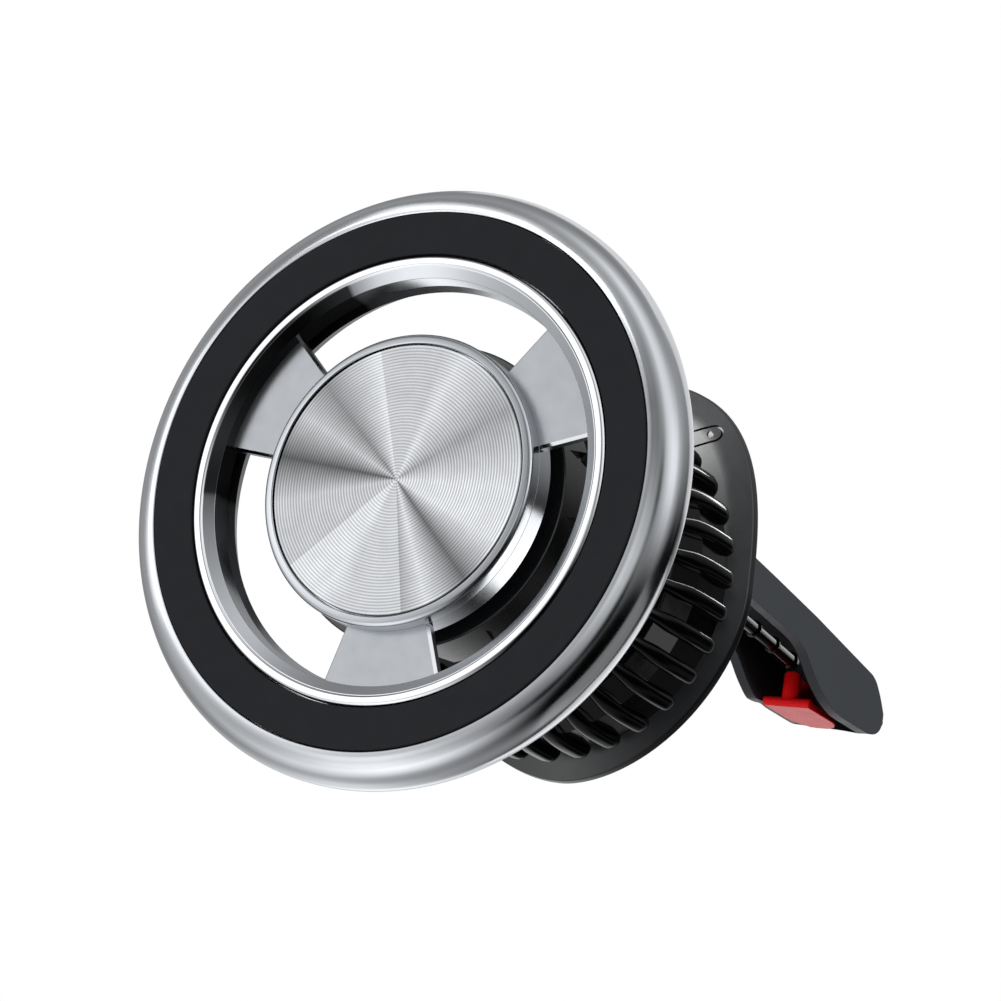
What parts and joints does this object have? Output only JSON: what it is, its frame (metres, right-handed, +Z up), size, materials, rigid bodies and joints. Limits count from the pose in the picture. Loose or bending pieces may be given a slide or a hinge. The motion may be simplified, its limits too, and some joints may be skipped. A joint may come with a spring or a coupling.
{
  "type": "car phone mount",
  "caption": "Magnetic ring phone holder on a lockable ball joint, with a finned knob that draws a hook arm against an air-vent blade.",
  "frame": {"origin": "on the clamp axis, in the plane where the rubber seat meets the vent grille", "axes": "+Y runs back into the vent along the clamp axis, -Y faces the driver, +Z is up"},
  "size_m": [0.0624, 0.1045, 0.0624],
  "materials": {
    "satin_aluminium": "satin",
    "polished_aluminium": "polished",
    "spun_aluminium": "spun with fine concentric grooves",
    "silicone": "matt silicone",
    "magnet_nickel": "nickel plated",
    "steel": "zinc plated",
    "ball_steel": "polished",
    "brass": "machined",
    "gloss_black": "moulded, glossy",
    "satin_black": "moulded, fine satin",
    "nylon": "natural nylon",
    "rubber": "matt rubber",
    "matt_grey": "moulded, matt dark grey",
    "red_plastic": "moulded, satin gloss"
  },
  "bodies": {
    "base": {"base_plate": "satin_black", "seat_pad": "rubber", "guide_bush": "nylon", "retaining_clip": "steel", "slip_washer": "nylon", "index_mark": "satin_black"},
    "knob": {"clamp_knob": "gloss_black", "nut_insert": "brass", "knob_front_ring": "satin_black"},
    "hook": {"threaded_stem": "steel", "ball": "ball_steel", "hook_arm": "matt_grey", "hook_rod": "gloss_black", "hook_claw": "red_plastic", "cross_pin": "steel"},
    "ball_liner": {"socket_liner": "nylon"},
    "ball_shell": {"friction_shell": "satin_black"},
    "head": {"head_frame": "satin_aluminium", "silicone_pad": "silicone", "yoke_ring": "steel", "ring_back_cover": "satin_black", "hub_bezel": "polished_aluminium", "hub_disc": "spun_aluminium", "hub_screw_1": "steel", "hub_screw_2": "steel", "hub_screw_3": "steel", "socket_cup": "satin_black", "magnet_01": "magnet_nickel", "magnet_02": "magnet_nickel", "magnet_03": "magnet_nickel", "magnet_04": "magnet_nickel", "magnet_05": "magnet_nickel", "magnet_06": "magnet_nickel", "magnet_07": "magnet_nickel", "magnet_08": "magnet_nickel", "magnet_09": "magnet_nickel", "magnet_10": "magnet_nickel", "magnet_11": "magnet_nickel", "magnet_12": "magnet_nickel", "magnet_13": "magnet_nickel", "magnet_14": "magnet_nickel", "magnet_15": "magnet_nickel", "magnet_16": "magnet_nickel"},
    "lock_nut": {"ball_lock_nut": "gloss_black"}
  },
  "joints": [
    {"name": "knob_turn", "type": "hinge", "parent": "base", "child": "knob", "pos_m": [0, -0.012, 0], "axis": [0, 1, 0], "range_deg": [0, 1080]},
    {"name": "hook_slide", "type": "slide", "parent": "base", "child": "hook", "axis": [0, -1, 0], "range_m": [0, 0.012]},
    {"name": "head_pan", "type": "hinge", "parent": "hook", "child": "ball_liner", "pos_m": [0, -0.0325, 0], "axis": [0, 0, 1], "range_deg": [-15, 15]},
    {"name": "head_tilt", "type": "hinge", "parent": "ball_liner", "child": "ball_shell", "pos_m": [0, -0.0325, 0], "axis": [1, 0, 0], "range_deg": [-15, 15]},
    {"name": "head_spin", "type": "hinge", "parent": "ball_shell", "child": "head", "pos_m": [0, -0.0325, 0], "axis": [0, 1, 0], "continuous": true},
    {"name": "lock_nut_turn", "type": "hinge", "parent": "head", "child": "lock_nut", "pos_m": [0, -0.034, 0], "axis": [0, 1, 0], "range_deg": [0, 270]}
  ],
  "couplings": [
    {"joint": "knob_turn", "follows": "hook_slide", "rad_per_m": 1570.8}
  ]
}
